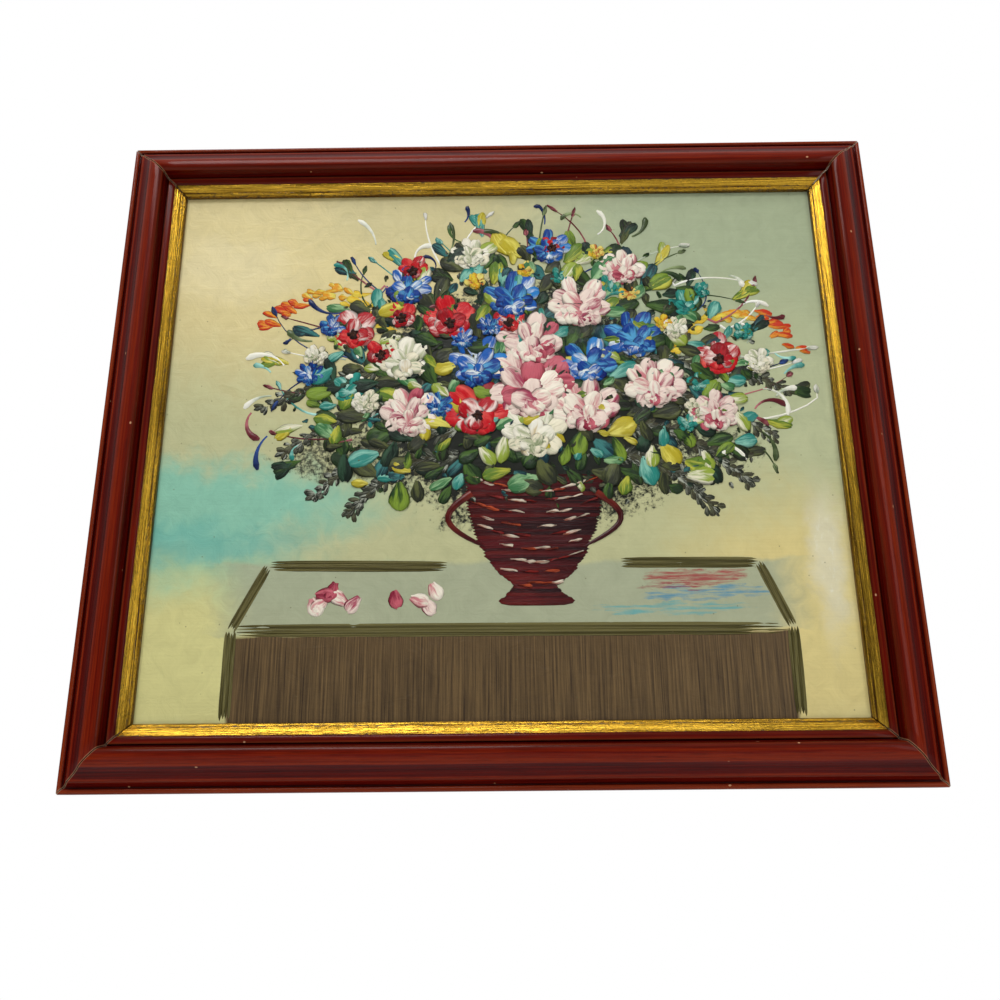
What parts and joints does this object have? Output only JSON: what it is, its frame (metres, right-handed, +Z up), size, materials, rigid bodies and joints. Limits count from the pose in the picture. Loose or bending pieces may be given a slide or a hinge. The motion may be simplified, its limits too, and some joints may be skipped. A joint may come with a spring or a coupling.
{
  "type": "framed oil painting",
  "caption": "Small landscape-format oil painting on board: thick knife-laid flowers over a dark urn, in a mitred mahogany-red moulding with a gilt sight edge.",
  "frame": {"origin": "middle of the sawtooth hanger's outer face, on the back of the top rail, where the frame hangs", "axes": "+X to the right across the picture, +Z up the picture, +Y out of the back towards the wall; the painted face looks along -Y"},
  "size_m": [0.3508, 0.0231, 0.3],
  "materials": {
    "stained_moulding": "mahogany-red stain under satin lacquer, with a worn gilt sight edge",
    "painted_board": "hardboard painted in oils, smooth ground with thick knife strokes",
    "steel_fixing": "plain rolled steel",
    "brassed_hanger": "thin brass plate on steel, dulled"
  },
  "bodies": {
    "root": {"rail_top": "stained_moulding", "rail_bottom": "stained_moulding", "rail_left": "stained_moulding", "rail_right": "stained_moulding", "painted_board": "painted_board", "v_nail_top_left": "steel_fixing", "v_nail_top_right": "steel_fixing", "v_nail_bottom_left": "steel_fixing", "v_nail_bottom_right": "steel_fixing", "framer_point_top_1": "steel_fixing", "framer_point_top_2": "steel_fixing", "framer_point_bottom_1": "steel_fixing", "framer_point_bottom_2": "steel_fixing", "framer_point_left_1": "steel_fixing", "framer_point_left_2": "steel_fixing", "framer_point_right_1": "steel_fixing", "framer_point_right_2": "steel_fixing", "sawtooth_hanger": "brassed_hanger", "hanger_nail_left": "brassed_hanger", "hanger_nail_right": "brassed_hanger"}
  },
  "joints": []
}
